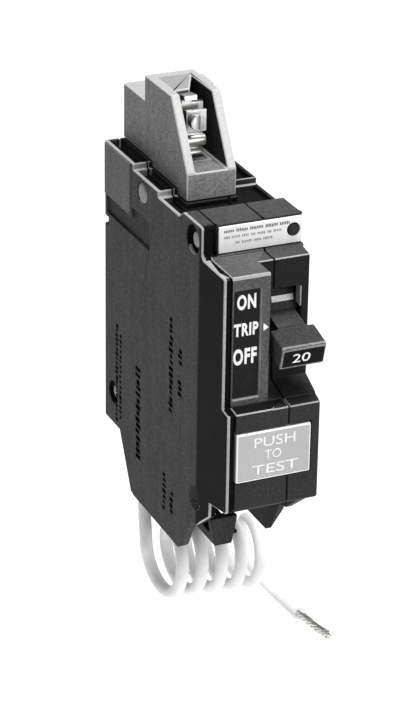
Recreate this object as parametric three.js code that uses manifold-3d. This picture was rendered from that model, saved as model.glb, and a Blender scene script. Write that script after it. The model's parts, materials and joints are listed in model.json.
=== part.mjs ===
// One-pole ground-fault circuit breaker, one inch wide, with a coiled neutral pigtail.
// Millimetres. +X is to the right of someone facing the breaker, -Y is the front, +Z is the line end.
// The origin is the middle of the flat back face.
import * as THREE from "three";
import { mergeVertices } from "three/addons/utils/BufferGeometryUtils.js";
import Module from "manifold-3d";

const wasm = await Module();
wasm.setup();

// ---------------------------------------------------------------- driving dimensions
const WIDTH = 25.4;               // one pole
const BACK_HEIGHT = 74.6;         // flat back face
const CASE_DEPTH = 75.3;          // back face to lower nose
const WINDOW_DEPTH = 72.0;        // front of the window block
const COLUMN_DEPTH = 65.2;        // front of the handle column
const RISER_DEPTH = 59.3;         // label face
const NOSE_TOP = -8.6;            // heights are below the top back edge
const NOSE_STEP = -41.2;          // upper nose to lower nose
const NOSE_BOTTOM = -66.2;
const CASE_BOTTOM = -89.0;
const WALL = 1.8;
const GAP = 0.3;                  // between pieces that touch
const CLEAR_FRONT = 85;           // cutting tools run past the object: to this depth,
const CLEAR_TOP = 5;              // up to this height,
const CLEAR_BOTTOM = -95;         // down to this height,
const CLEAR_SIDE = 2;             // and this far past either side
const COVER = 3.6;                // left cover, on the body
const SPLIT = 15.5;               // seam between centre case and right case
const WEB = [10.6, 12.0];         // wall between electronics and mechanism
const NOSE_DRAFT = 2.0;           // the nose narrows by this much on the right
const HANDLE_PIVOT = [55.5, -23.0];
const HANDLE_OFF = -16;           // degrees above straight out
const HUB_RADIUS = 7.4;
const ARM_PIVOT = [47.5, -31.5];
const CRADLE_PIVOT = [44.0, -14.0];
const LATCH_PIVOT = [40.9, -43.0];
const SCREW_TILT = -30;           // load screws point forward and down
const WIRE = 3.3;                 // pigtail over its insulation
const COIL_RADIUS = 8.3;          // to the middle of the wire
const COIL_TURNS = 5;
const COIL_PITCH = 5.4;

// ---------------------------------------------------------------- frame and helpers
const X_LEFT = -WIDTH / 2;
const Z_TOP = BACK_HEIGHT / 2;
// across = distance from the left face, depth = distance in front of the back face
const spot = (across, depth, height) => new THREE.Vector3(X_LEFT + across, -depth, Z_TOP + height);

const solidOf = (geometry) => {
  const bare = geometry.index ? geometry.toNonIndexed() : geometry.clone();
  bare.deleteAttribute("normal");
  bare.deleteAttribute("uv");
  const merged = mergeVertices(bare, 1e-4);
  return new wasm.Manifold(new wasm.Mesh({
    numProp: 3,
    vertProperties: new Float32Array(merged.attributes.position.array),
    triVerts: new Uint32Array(merged.index.array),
  }));
};

const geometryOf = (solid) => {
  const mesh = solid.getMesh();
  const geometry = new THREE.BufferGeometry();
  geometry.setAttribute("position", new THREE.BufferAttribute(new Float32Array(mesh.vertProperties), 3));
  geometry.setIndex(new THREE.BufferAttribute(new Uint32Array(mesh.triVerts), 1));
  const faceted = geometry.toNonIndexed();
  faceted.computeVertexNormals();
  return faceted;
};

const join = (first, ...others) => others.reduce((sum, other) => sum.add(other), first);
const cut = (first, ...others) => others.reduce((rest, other) => rest.subtract(other), first);

const outlineShape = (points) => new THREE.Shape(points.map(([a, b]) => new THREE.Vector2(a, b)));

// An outline in (depth, height) carried across the width from x0 to x1.
const prism = (points, x0, x1) => {
  const geometry = new THREE.ExtrudeGeometry(outlineShape(points), { depth: x1 - x0, bevelEnabled: false });
  const basis = new THREE.Matrix4().makeBasis(
    new THREE.Vector3(0, -1, 0), new THREE.Vector3(0, 0, 1), new THREE.Vector3(-1, 0, 0));
  geometry.applyMatrix4(basis);
  geometry.translate(X_LEFT + x1, 0, Z_TOP);
  return solidOf(geometry);
};

// An outline in (across, height) carried forward from depth d0 to d1.
const slabFacing = (points, d0, d1) => {
  const geometry = new THREE.ExtrudeGeometry(outlineShape(points), { depth: d1 - d0, bevelEnabled: false });
  geometry.rotateX(Math.PI / 2);
  geometry.translate(X_LEFT, -d0, Z_TOP);
  return solidOf(geometry);
};

// An outline in (across, depth) carried up from height z0 to z1.
const slabFlat = (points, z0, z1) => {
  const shape = outlineShape(points.map(([across, depth]) => [across, -depth]));
  const geometry = new THREE.ExtrudeGeometry(shape, { depth: z1 - z0, bevelEnabled: false });
  geometry.translate(X_LEFT, 0, Z_TOP + z0);
  return solidOf(geometry);
};

const box = (x0, x1, d0, d1, z0, z1) => {
  const geometry = new THREE.BoxGeometry(x1 - x0, d1 - d0, z1 - z0);
  const middle = spot((x0 + x1) / 2, (d0 + d1) / 2, (z0 + z1) / 2);
  geometry.translate(middle.x, middle.y, middle.z);
  return solidOf(geometry);
};

// A rod along X, Y or Z. from and to are its ends along that axis, in across, depth or height.
const rod = (axis, radius, from, to, centre, sides = 24) => {
  const geometry = new THREE.CylinderGeometry(radius, radius, Math.abs(to - from), sides);
  const middle = (from + to) / 2;
  const at = {
    x: () => { geometry.rotateZ(Math.PI / 2); return spot(middle, centre[0], centre[1]); },
    y: () => spot(centre[0], middle, centre[1]),
    z: () => { geometry.rotateX(Math.PI / 2); return spot(centre[0], centre[1], middle); },
  }[axis]();
  geometry.translate(at.x, at.y, at.z);
  return solidOf(geometry);
};

const tube = (points, radius, sides, steps) => {
  const path = new THREE.CatmullRomCurve3(points, false, "centripetal");
  const section = new THREE.Shape(Array.from({ length: sides }, (_, i) => {
    const angle = (2 * Math.PI * i) / sides;
    return new THREE.Vector2(radius * Math.cos(angle), radius * Math.sin(angle));
  }));
  return solidOf(new THREE.ExtrudeGeometry(section, { steps, extrudePath: path, bevelEnabled: false }));
};

const material = (color, roughness, metalness) => new THREE.MeshStandardMaterial({ color, roughness, metalness });
const MATERIALS = {
  case: () => material(0x1c1c1d, 0.45, 0),
  housing: () => material(0xb0b0ae, 0.5, 0),
  white: () => material(0xf2f2ee, 0.5, 0),
  plate: () => material(0xc4c4c2, 0.45, 0),
  handle: () => material(0x161617, 0.35, 0),
  steel: () => material(0xa9abad, 0.35, 0.9),
  copper: () => material(0xb87345, 0.35, 0.9),
  tin: () => material(0xc9c8c2, 0.3, 0.9),
  silver: () => material(0xdadada, 0.25, 1),
  board: () => material(0x2f5b38, 0.5, 0),
  ferrite: () => material(0x3d3f42, 0.7, 0),
  winding: () => material(0x9a4f24, 0.4, 0.6),
  fibre: () => material(0x8a5a3b, 0.8, 0),
  chip: () => material(0x202124, 0.5, 0),
  ceramic: () => material(0x2f62a8, 0.4, 0),
  insulation: () => material(0xf4f4f1, 0.4, 0),
};

const breaker = new THREE.Group();

// A mesh built in the breaker's frame, hung from a group that sits at a pivot.
const pieceIn = (group, name, solid, look) => {
  const geometry = geometryOf(solid);
  geometry.translate(-group.position.x, -group.position.y, -group.position.z);
  const mesh = new THREE.Mesh(geometry, MATERIALS[look]());
  mesh.name = name;
  group.add(mesh);
  return mesh;
};
const piece = (name, solid, look) => pieceIn(breaker, name, solid, look);

const pivotGroup = (across, [depth, height]) => {
  const group = new THREE.Group();
  group.position.copy(spot(across, depth, height));
  breaker.add(group);
  return group;
};

// Turns a solid about the X axis through (depth, height); positive lifts what is in front.
const tilted = (solid, [depth, height], degrees) => {
  const pivot = spot(0, depth, height);
  const geometry = geometryOf(solid);
  geometry.translate(0, -pivot.y, -pivot.z);
  geometry.rotateX(THREE.MathUtils.degToRad(-degrees));
  geometry.translate(0, pivot.y, pivot.z);
  return solidOf(geometry);
};

// ---------------------------------------------------------------- outlines, in (depth, height)
// The whole side profile: stepped top, riser, upper nose, lower nose, sloped load end.
const CASE_OUTLINE = [
  [0, 0], [0, -BACK_HEIGHT], [9.7, -BACK_HEIGHT], [17.2, -88.5], [19.0, CASE_BOTTOM], [47.4, -89.2],
  [50.1, -87.4], [54.8, -78.6], [58.3, -77.6], [65.6, -71.9], [65.8, -68.2],
  [CASE_DEPTH - 0.6, NOSE_BOTTOM - 0.3], [CASE_DEPTH, NOSE_BOTTOM + 0.4],
  [CASE_DEPTH, NOSE_STEP], [WINDOW_DEPTH, NOSE_STEP + 0.5], [WINDOW_DEPTH, NOSE_TOP - 0.4],
  [WINDOW_DEPTH - 0.4, NOSE_TOP], [RISER_DEPTH + 0.9, NOSE_TOP], [RISER_DEPTH, NOSE_TOP + 0.9],
  [RISER_DEPTH, -1.4], [RISER_DEPTH - 0.4, -1.0], [48.6, -1.0], [46.1, -2.8],
  [33.6, -2.8], [33.6, -1.4], [18.2, -1.4], [18.2, 0],
];
// The room inside the body, shared by both compartments.
const BODY_ROOM = [
  [2.0, -5.0], [2.0, -72.6], [10.8, -72.6], [18.5, -86.9], [31.2, -86.9], [31.2, -78.2], [44.2, -78.2],
  [44.2, -58.2], [63.6, -58.2], [63.6, -64.0], [CASE_DEPTH - WALL, -64.4], [CASE_DEPTH - WALL, -43.4],
  [COLUMN_DEPTH - WALL, -40.9], [COLUMN_DEPTH - WALL, -10.6], [57.4, -10.6], [57.4, -5.0],
];
// The left compartment reaches further forward, behind the window block.
const WINDOW_ROOM = [
  [57.0, -10.6], [57.0, -43.4], [CASE_DEPTH - WALL, -43.4], [67.2, -41.8], [67.2, -10.6],
];
// The load terminals' pocket, open to the front and to the bottom.
const LOAD_POCKET = [
  [46, -60], [46, -80], [33, -80], [33, CLEAR_BOTTOM], [CLEAR_FRONT, CLEAR_BOTTOM], [CLEAR_FRONT, -68.2], [65.8, -68.2], [62.4, -67.8], [62.4, -60],
];
// Everything in front of the handle column's face, above its sloped ledge.
const LEDGE = { back: -38.7, slope: 5.1 / 19.8 };
const HANDLE_RECESS = [
  [COLUMN_DEPTH, CLEAR_TOP], [CLEAR_FRONT, CLEAR_TOP],
  [CLEAR_FRONT, LEDGE.back - (CLEAR_FRONT - COLUMN_DEPTH) * LEDGE.slope], [COLUMN_DEPTH, LEDGE.back],
];

// ---------------------------------------------------------------- cutting tools shared by the slices
// Rivets in (depth, height), with the across position where each one starts.
const RIVETS = [
  { at: [24.0, -5.3], blind: false }, { at: [54.6, -5.6], blind: false },
  { at: [5.2, -66.0], blind: false }, { at: [69.5, -61.6], blind: true },
];
const RIVET_RADIUS = 1.5;
const RIVET_HEAD = 2.7;
const HEAD_SINK = 0.5;            // depth of a head's seat
const HEAD_THICK = 0.4;
const BLIND_START = 1.2;          // a blind rivet starts inside the left cover
const BLIND_SEAT = 3.0;           // and its far head sits this far inside the drafted right wall
const rivetHoles = RIVETS.map(({ at, blind }) => rod("x", RIVET_RADIUS + GAP,
  blind ? BLIND_START - GAP : -CLEAR_SIDE, WIDTH + CLEAR_SIDE, at, 20));
const headSeats = RIVETS.flatMap(({ at, blind }) => [
  ...(blind ? [] : [rod("x", RIVET_HEAD + GAP, -CLEAR_SIDE, HEAD_SINK, at, 28)]),
  rod("x", RIVET_HEAD + GAP, WIDTH - (blind ? BLIND_SEAT : HEAD_SINK), WIDTH + CLEAR_SIDE, at, 28),
]);
// The nose narrows towards its front on the right.
const DRAFT = { start: 57.5, bottom: -69.5 };
const draftWedge = slabFlat([
  [WIDTH, DRAFT.start], [WIDTH + CLEAR_SIDE, DRAFT.start], [WIDTH + CLEAR_SIDE, CLEAR_FRONT],
  [WIDTH - NOSE_DRAFT * (CLEAR_FRONT - DRAFT.start) / (CASE_DEPTH - DRAFT.start), CLEAR_FRONT],
], DRAFT.bottom, NOSE_TOP);
const TEST = { x: [2.2, 21.0], z: [-58.6, -46.2] };
const testOpening = box(TEST.x[0] - GAP, TEST.x[1] + GAP, 72.6, CLEAR_FRONT, TEST.z[0] - GAP, TEST.z[1] + GAP);
const CHAMFER = { top: -81, bottom: -90, across: 2.0 };
const bottomChamfer = slabFacing([
  [WIDTH - CHAMFER.across, CLEAR_BOTTOM], [WIDTH - CHAMFER.across, CHAMFER.bottom], [WIDTH, CHAMFER.top],
  [WIDTH + CLEAR_SIDE, CHAMFER.top], [WIDTH + CLEAR_SIDE, CLEAR_BOTTOM],
], -1, CLEAR_FRONT);
const HANDLE_ACROSS = [12.9, 24.0];
const COLUMN_LEFT = 11.6;         // the handle column's left edge, beside the window block
const handleRecess = prism(HANDLE_RECESS, COLUMN_LEFT, WIDTH + CLEAR_SIDE);
const handleSlot = box(14.6, 22.6, 60, CLEAR_FRONT, -32.0, -16.1);
const loadPocket = prism(LOAD_POCKET, WALL, WIDTH - WALL);
const strapOut = box(14.6, 20.6, 43, 48, -68.0, -65.2);
const LABEL = { x: [4.2, 25.1], z: [-7.8, -1.4] };
const LABEL_SINK = 0.7;
const labelSeat = box(LABEL.x[0] - GAP, WIDTH + CLEAR_SIDE, RISER_DEPTH - LABEL_SINK, CLEAR_FRONT,
  LABEL.z[0] - GAP, LABEL.z[1] + GAP);
const PLUG = { at: [22.9, -4.5], radius: 1.35 };
const plugHole = rod("y", PLUG.radius + GAP, 57.9, 62, PLUG.at, 20);
// Blind holes that hold the three mechanism pins.
const PIN_RADIUS = 1.2;
const pinHoles = [HANDLE_PIVOT, ARM_PIVOT].map((at) => rod("x", PIN_RADIUS + GAP, 11.2, 12.5, at, 20));
const farPinHoles = [HANDLE_PIVOT, CRADLE_PIVOT].map((at) => rod("x", PIN_RADIUS + GAP, 23, 24.2, at, 20));
const EXIT = [4.6, 15.5];         // across and depth of the pigtail's way out
const exitHole = rod("z", 2.7, -92, -76, EXIT, 24);

// ---------------------------------------------------------------- left cover
const coverPlate = prism(CASE_OUTLINE, 0, WALL);
const bodyOnly = box(-CLEAR_SIDE, WIDTH + CLEAR_SIDE, -1, RISER_DEPTH, CLEAR_BOTTOM, CLEAR_TOP);
const coverRim = prism(CASE_OUTLINE, WALL - 0.1, COVER).intersect(bodyOnly);
// A round bite in the cover's lower front shows the neutral lug.
const lugWindow = rod("x", 3.2, -1, WALL + 1, [57.0, -70.6], 28);
const hookNotch = box(-1, 0.9, -1, 2.2, -21.6, -19.6);
const leftCover = cut(join(coverPlate, coverRim), prism(BODY_ROOM, WALL, COVER + 1),
  prism(LOAD_POCKET, WALL, COVER + 1), lugWindow, hookNotch, exitHole, ...rivetHoles, ...headSeats);
piece("left_cover", leftCover, "case");

// ---------------------------------------------------------------- centre case
const centreBody = prism(CASE_OUTLINE, COVER + GAP, SPLIT - GAP / 2);
const noseOnly = box(-CLEAR_SIDE, WIDTH + CLEAR_SIDE, RISER_DEPTH + GAP, CLEAR_FRONT, CLEAR_BOTTOM, CLEAR_TOP);
const centreNose = prism(CASE_OUTLINE, WALL + GAP, COVER + 1).intersect(noseOnly);
const WINDOW = { x: [2.6, 9.4], z: [-39.1, -12.0], floor: 69.9, panel: 71.2 };
const windowRecess = box(WINDOW.x[0], WINDOW.x[1], WINDOW.floor, CLEAR_FRONT, WINDOW.z[0], WINDOW.z[1]);
const electronicsRoom = join(prism(BODY_ROOM, 0, WEB[0]), prism(WINDOW_ROOM, 0, WEB[0]));
const mechanismRoom = prism(BODY_ROOM, WEB[1], SPLIT + 1);
const strapPassage = box(6.9, 24, 18.0, 32.4, -14.0, -6.4);
const strapSlot = box(6.9, 14.3, 26.4, 31.9, -7, 1);
const SENSOR = [24, -44];
const sensorHole = rod("x", 3.6, WEB[0] - 1, WEB[1] + 1, SENSOR, 24);
const PLUNGER = { across: 6.3, height: -61.8 };
const tripSlot = box(WEB[0] - 1, WEB[1] + 1, 39.6, 44.1, PLUNGER.height - 1.2, PLUNGER.height + 1.2);
const buttonRoom = box(WALL, WEB[1] + 0.1, 70.2, CASE_DEPTH - WALL, TEST.z[0] - 1.4, TEST.z[1] + 1.3);
const neutralTabSlot = box(4.7, 8.3, 48.0, 50.6, -61, -57);
const barrier = prism([[46.2, -59.0], [46.2, -76.0], [52, -76.0], [62.2, -69.0], [62.2, -59.0]], 12.2, 13.2);
// Tongue between the two wire entries: a floor rib with an upturned, tapered end.
const tongueRib = box(8.4, 13.0, 31.5, 50.6, CASE_BOTTOM, -86.6);
const tongueEnd = slabFacing([[7.3, -81.5], [8.4, -89.0], [13.0, -89.0], [14.4, -81.5]], 48.4, 50.9);
const centreCase = join(
  cut(join(centreBody, centreNose), electronicsRoom, mechanismRoom, loadPocket, windowRecess, handleRecess,
    handleSlot, testOpening, buttonRoom, strapPassage, strapSlot, sensorHole, tripSlot, labelSeat, strapOut,
    neutralTabSlot, exitHole, ...pinHoles, ...rivetHoles),
  barrier, tongueRib, tongueEnd);
piece("centre_case", centreCase, "case");

// ---------------------------------------------------------------- right case
const rightBody = prism(CASE_OUTLINE, SPLIT + GAP / 2, WIDTH);
const rightRoom = prism(BODY_ROOM, SPLIT - 1, WIDTH - WALL - 0.4);
const rightNoseWall = box(21.9, 24, 63.9, CASE_DEPTH, -66, -41);
const rightCase = cut(rightBody, cut(rightRoom, rightNoseWall), loadPocket, handleRecess, handleSlot, testOpening,
  labelSeat, plugHole, draftWedge, bottomChamfer, strapOut, ...farPinHoles, ...rivetHoles, ...headSeats);
piece("right_case", rightCase, "case");

// ---------------------------------------------------------------- line terminal housing
const HOUSING = { x: [4.8, 17.4], slot: [7.0, 15.2], top: 20.4, cap: 19.2, shoulder: 14.2, base: 4.2 };
const housingOutline = [
  [0.3, 0.3], [18.5, 0.3], [18.5, -1.1], [33.9, -1.1], [33.9, -2.5], [39.5, -2.5],
  [39.5, HOUSING.base], [29.6, HOUSING.top], [13.6, HOUSING.top], [13.6, HOUSING.shoulder], [0.3, HOUSING.shoulder],
];
const housingSlot = prism([[16.5, 25], [16.5, HOUSING.base], [45, HOUSING.base], [45, 25]], ...HOUSING.slot);
const strapHole = box(7.2, 14.0, 26.4, 31.9, -5, HOUSING.base + 1);
const pillar = box(HOUSING.x[1] - 0.1, 19.8, 13.6, 20.5, -1.1, 19.0);
// A slanted cap closes the top of the slot behind the strap, on the left.
const capOutline = [[6.9, 16.4], [15.3, 16.4], [15.3, 17.3], [10.9, 26.4], [6.9, 26.7]];
const slotCap = slabFlat(capOutline, HOUSING.cap, HOUSING.top);
const lineHousing = join(
  cut(join(prism(housingOutline, ...HOUSING.x), cut(pillar, box(0, 25, 13, 18.6, -2, 0.3))), housingSlot, strapHole),
  slotCap);
piece("line_housing", lineHousing, "housing");

// ---------------------------------------------------------------- line strap, contact and clamp
const ARM_LENGTH = 35;
const ARM_OPEN = -19.9;           // degrees from pointing straight back, as it rests
const ARM_CLOSED = -33.9;
const [armDepth, armHeight] = ARM_PIVOT;
const strapUpright = join(box(7.6, 13.6, 27.0, 28.4, -12.2, 17.6), box(8.0, 10.8, 27.0, 28.4, 17.5, 19.2));
const strapNose = tilted(box(7.8, 11.1, 27.2, 30.6, 18.5, 19.8), [28, 19.2], 8);
const strapFold = rod("x", 1.4, 7.6, 13.9, [28.6, 8.2], 20);
const strapLowFold = rod("x", 0.9, 7.6, 13.0, [28.6, 5.2], 16);
const strapCross = box(7.6, 19.7, 25.0, 28.4, -12.2, -10.8);
const contactPlate = tilted(box(16.3, 19.7, armDepth - 36, armDepth - 28.6, armHeight + 3.8, armHeight + 5.0),
  ARM_PIVOT, ARM_CLOSED);
const LINE_SCREW = [10.2, 14.1];
const lineStrap = cut(join(strapUpright, strapNose, strapFold, strapLowFold, strapCross, contactPlate),
  rod("y", 1.6, 26, 31, LINE_SCREW, 20));
piece("line_strap", lineStrap, "tin");
piece("fixed_contact", tilted(box(16.6, 19.4, armDepth - 34.4, armDepth - 31.2, armHeight + 2.5, armHeight + 3.5),
  ARM_PIVOT, ARM_CLOSED), "silver");

// A pan-head screw along -Y with a driver slot; tip and head are depths.
const panScrew = ([across, height], tip, head, shank, headRadius, headHeight) => cut(
  join(rod("y", shank, tip, head + 0.1, [across, height], 20),
    rod("y", headRadius, head, head + headHeight, [across, height], 28)),
  box(across - 0.45, across + 0.45, head + headHeight - 0.9, head + headHeight + 1,
    height - headRadius - 1, height + headRadius + 1));
const lineClamp = cut(box(8.0, 13.2, 30.2, 31.4, 11.2, 16.6), rod("y", 1.6, 29, 33, LINE_SCREW, 20));
piece("line_clamp", lineClamp, "steel");
piece("line_screw", panScrew(LINE_SCREW, 21.5, 31.7, 1.3, 1.9, 1.9), "steel");

// ---------------------------------------------------------------- label, window, test plate
const labelPlate = cut(
  box(LABEL.x[0], LABEL.x[1], RISER_DEPTH - LABEL_SINK + GAP, RISER_DEPTH + 0.2, LABEL.z[0], LABEL.z[1]),
  rod("y", PLUG.radius + GAP, 50, 70, PLUG.at, 20));
piece("label_plate", labelPlate, "white");
piece("label_plug", rod("y", PLUG.radius, 58.2, RISER_DEPTH + 0.5, PLUG.at, 20), "case");
piece("window_panel", box(WINDOW.x[0] + GAP, WINDOW.x[1] - GAP, WINDOW.floor + GAP, WINDOW.panel,
  WINDOW.z[0] + GAP, WINDOW.z[1] - GAP), "case");
const testFace = box(TEST.x[0], TEST.x[1], 73.1, CASE_DEPTH + 0.5, TEST.z[0], TEST.z[1]);
const testFlange = box(TEST.x[0], TEST.x[1], 71.9, 73.2, TEST.z[0] - 1.0, TEST.z[1] + 1.0);
piece("test_button", join(testFace, testFlange), "plate");
const TEST_SPRING = [6.6, -52.3];
piece("test_spring", cut(rod("y", 2.2, 64.0, 70.4, TEST_SPRING, 20), rod("y", 1.5, 63, 73, TEST_SPRING, 20)), "steel");
piece("test_contact", box(4.1, 9.8, 62.6, 63.6, -56.0, -48.6), "tin");

// ---------------------------------------------------------------- rivets
RIVETS.forEach(({ at, blind }, index) => {
  const nearEnd = blind ? BLIND_START + GAP : HEAD_SINK - GAP - HEAD_THICK;
  const farSeat = WIDTH - (blind ? BLIND_SEAT : HEAD_SINK) + GAP;
  const shank = rod("x", RIVET_RADIUS, nearEnd, farSeat, at, 20);
  const farHead = rod("x", RIVET_HEAD, farSeat, farSeat + HEAD_THICK, at, 28);
  const nearHead = rod("x", RIVET_HEAD, nearEnd, nearEnd + HEAD_THICK, at, 28);
  piece(`case_rivet_${index + 1}`, blind ? join(shank, farHead) : join(shank, farHead, nearHead), "steel");
});

// ---------------------------------------------------------------- handle
const handleGroup = pivotGroup(0, HANDLE_PIVOT);
const [pivotDepth, pivotHeight] = HANDLE_PIVOT;
const HEAD_PROFILE = [
  [13.5, -2.7], [13.5, 2.4], [14.0, 2.6], [20.6, 2.8], [21.1, 2.4], [21.2, -2.9], [20.7, -3.2], [14.0, -3.0],
];
const handleHead = prism(HEAD_PROFILE.map(([d, z]) => [pivotDepth + d, pivotHeight + z]), ...HANDLE_ACROSS);
const handleStem = box(15.0, 22.2, pivotDepth, pivotDepth + 13.6, pivotHeight - 2.7, pivotHeight + 2.5);
const handleHub = rod("x", HUB_RADIUS, 13.4, 22.6, HANDLE_PIVOT, 40);
const hubNotch = box(16.0, 20.2, pivotDepth - 8, pivotDepth - 2.8, pivotHeight - 4, pivotHeight + 4);
const handleSolid = cut(join(handleHead, handleStem, handleHub), hubNotch,
  rod("x", PIN_RADIUS + GAP, 10, 26, HANDLE_PIVOT, 20));
pieceIn(handleGroup, "handle", tilted(handleSolid, HANDLE_PIVOT, HANDLE_OFF), "handle");
piece("handle_pin", rod("x", PIN_RADIUS, 11.5, 23.9, HANDLE_PIVOT, 20), "steel");

// ---------------------------------------------------------------- contact arm
const armGroup = pivotGroup(0, ARM_PIVOT);
const armBlade = prism([
  [armDepth + 1.6, armHeight - 1.9], [armDepth + 2.4, armHeight], [armDepth + 1.6, armHeight + 1.9],
  [armDepth - 8, armHeight + 1.9], [armDepth - ARM_LENGTH, armHeight + 0.9], [armDepth - ARM_LENGTH, armHeight - 0.9],
  [armDepth - 8, armHeight - 1.9],
], 16.6, 19.4);
const armSolid = cut(armBlade, rod("x", PIN_RADIUS + GAP - 0.05, 10, 26, ARM_PIVOT, 20));
pieceIn(armGroup, "contact_arm", tilted(armSolid, ARM_PIVOT, ARM_OPEN), "copper");
pieceIn(armGroup, "moving_contact", tilted(
  box(16.8, 19.2, armDepth - 34.4, armDepth - 31.2, armHeight + 1.3, armHeight + 2.2), ARM_PIVOT, ARM_OPEN), "silver");
pieceIn(armGroup, "toggle_spring", tilted(
  rod("y", 1.4, armDepth - 20, armDepth - 5, [14.7, armHeight], 16), ARM_PIVOT, ARM_OPEN), "steel");
piece("arm_pin", rod("x", PIN_RADIUS, 11.5, 20.0, ARM_PIVOT, 20), "steel");

// ---------------------------------------------------------------- cradle and latch
const cradleGroup = pivotGroup(0, CRADLE_PIVOT);
const cradleSolid = cut(prism([
  [42.2, -11.6], [45.8, -11.6], [46.3, -16], [46.0, -30], [46.6, -46.4], [42.8, -48.6], [43.2, -30], [41.8, -16],
], 20.4, 21.8), rod("x", PIN_RADIUS + GAP, 10, 26, CRADLE_PIVOT, 20));
pieceIn(cradleGroup, "cradle", cradleSolid, "steel");
piece("cradle_pin", rod("x", PIN_RADIUS, 19.9, 23.9, CRADLE_PIVOT, 20), "steel");
const latchGroup = pivotGroup(0, LATCH_PIVOT);
const armature = join(box(14.5, 21.8, 40.3, 41.5, -62.6, -41.8), box(20.0, 21.8, 41.4, 43.6, -50.6, -49.5));
pieceIn(latchGroup, "armature", armature, "steel");
const yoke = cut(box(14.3, 21.9, 33.0, 37.9, -60, -48), box(15.6, 20.6, 34.4, 39, -61, -47));
piece("magnet_yoke", yoke, "steel");
piece("bimetal", box(16.4, 19.8, 36.0, 37.0, -71.0, -42.0), "copper");
piece("calibration_screw", panScrew([18.1, -68.6], 31.6, 33.3, 1.1, 1.9, 1.4), "steel");
piece("load_strap", join(box(15.4, 19.9, 37.5, 38.9, -72.0, -64.6), box(15.4, 19.9, 38.8, 46.4, -67.3, -65.9)), "copper");
const braidPoints = [[44.4, -35.0], [42.0, -37.3], [39.2, -37.8], [37.2, -38.8], [36.5, -41.5]];
piece("braid", tube(braidPoints.map(([d, z]) => spot(18.1, d, z)), 1.0, 8, 14), "copper");

// ---------------------------------------------------------------- arc chute
const ARC_PLATES = { first: -14.0, step: -3.6, count: 4 };
piece("arc_frame", box(12.6, 22.8, 2.8, 3.8, -27.5, -11.5), "fibre");
for (let i = 0; i < ARC_PLATES.count; i += 1) {
  const z = ARC_PLATES.first + i * ARC_PLATES.step;
  const plate = cut(box(13.0, 22.6, 4.2, 16.0, z - 0.5, z + 0.5), box(15.4, 20.6, 7.5, 17, z - 1, z + 1));
  piece(`arc_plate_${i + 1}`, plate, "steel");
}

// ---------------------------------------------------------------- ground-fault electronics
piece("circuit_board", box(2.6, 3.8, 8.0, 61.8, -57.4, -12.0), "board");
const core = cut(rod("x", 9.6, 4.3, 10.2, SENSOR, 36), rod("x", 4.6, 4, 11, SENSOR, 28));
piece("sensing_core", core, "ferrite");
piece("capacitor", rod("x", 3.6, 4.1, 10.0, [43, -21], 24), "chip");
piece("varistor", rod("x", 4.4, 4.1, 7.2, [52.5, -27], 24), "ceramic");
piece("sensing_chip", box(4.1, 6.2, 38.0, 47.6, -39.0, -32.8), "chip");
piece("test_resistor", rod("z", 1.2, -50.0, -42.0, [5.4, 52.0], 16), "ceramic");
const solenoidBody = join(rod("y", 3.5, 22, 38, [PLUNGER.across, PLUNGER.height], 28),
  rod("y", 3.9, 22, 23.2, [PLUNGER.across, PLUNGER.height], 28),
  rod("y", 3.9, 36.8, 38, [PLUNGER.across, PLUNGER.height], 28));
piece("solenoid", cut(solenoidBody, rod("y", 1.95, 21, 39, [PLUNGER.across, PLUNGER.height], 20)), "winding");
const plunger = join(rod("y", 1.6, 25.5, 42, [PLUNGER.across, PLUNGER.height], 20),
  rod("y", 2.6, 41.4, 43.8, [PLUNGER.across, PLUNGER.height], 20),
  rod("x", 0.8, PLUNGER.across, 15.8, [42.8, PLUNGER.height], 16));
piece("plunger", plunger, "steel");
piece("plunger_spring", cut(rod("y", 2.6, 38.3, 39.9, [PLUNGER.across, PLUNGER.height], 20),
  rod("y", 1.95, 38, 42, [PLUNGER.across, PLUNGER.height], 20)), "steel");
const jumperPoints = [
  [6.4, 48.4, -55.2], [6.4, 42, -56.0], [6.4, 30, -55.9], [6.4, 18, -56.4], [6.2, 12, -60], [5.4, 13.2, -68],
  [4.8, 15.2, -74], [4.6, 15.5, -79.6],
];
piece("neutral_jumper", tube(jumperPoints.map((p) => spot(...p)), 1.2, 8, 28), "insulation");

// ---------------------------------------------------------------- load and neutral lugs
const LUG = { at: [53.0, -66.2], half: [4.5, 4.0], wall: 1.6 };
const lugSet = (name, x0, x1, tab) => {
  const [depth, height] = LUG.at;
  const middle = (x0 + x1) / 2;
  const turn = (solid) => tilted(solid, LUG.at, SCREW_TILT);
  const frame = cut(box(x0, x1, depth - LUG.half[0], depth + LUG.half[0], height - LUG.half[1], height + LUG.half[1]),
    box(x0 + 0.9, x1 - 0.9, depth - 2.9, depth + 2.9, height - 5, height + 5),
    rod("y", 1.8, depth + 2, depth + 6, [middle, height], 20));
  piece(`${name}_lug`, tab ? join(turn(frame), tab) : turn(frame), "tin");
  const plate = box(x0 + 1.2, x1 - 1.2, depth + 1.6, depth + 2.6, height - 3.2, height + 3.2);
  piece(`${name}_clamp`, turn(plate), "steel");
  piece(`${name}_screw`, turn(panScrew([middle, height], depth + 2.9, depth + 5.9, 1.5, 2.3, 2.2)), "steel");
};
lugSet("neutral", 3.2, 9.8, box(5.0, 8.0, 48.6, 50.2, -64.5, -56.6));
lugSet("load", 14.6, 21.2, null);

// ---------------------------------------------------------------- pigtail
const COIL_AXIS = { across: 2.6, depth: 30.0, height: -102.6, drop: 0.46 };
const COIL_OUTER = COIL_RADIUS + WIRE / 2;
const wireRadius = WIRE / 2;
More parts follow.
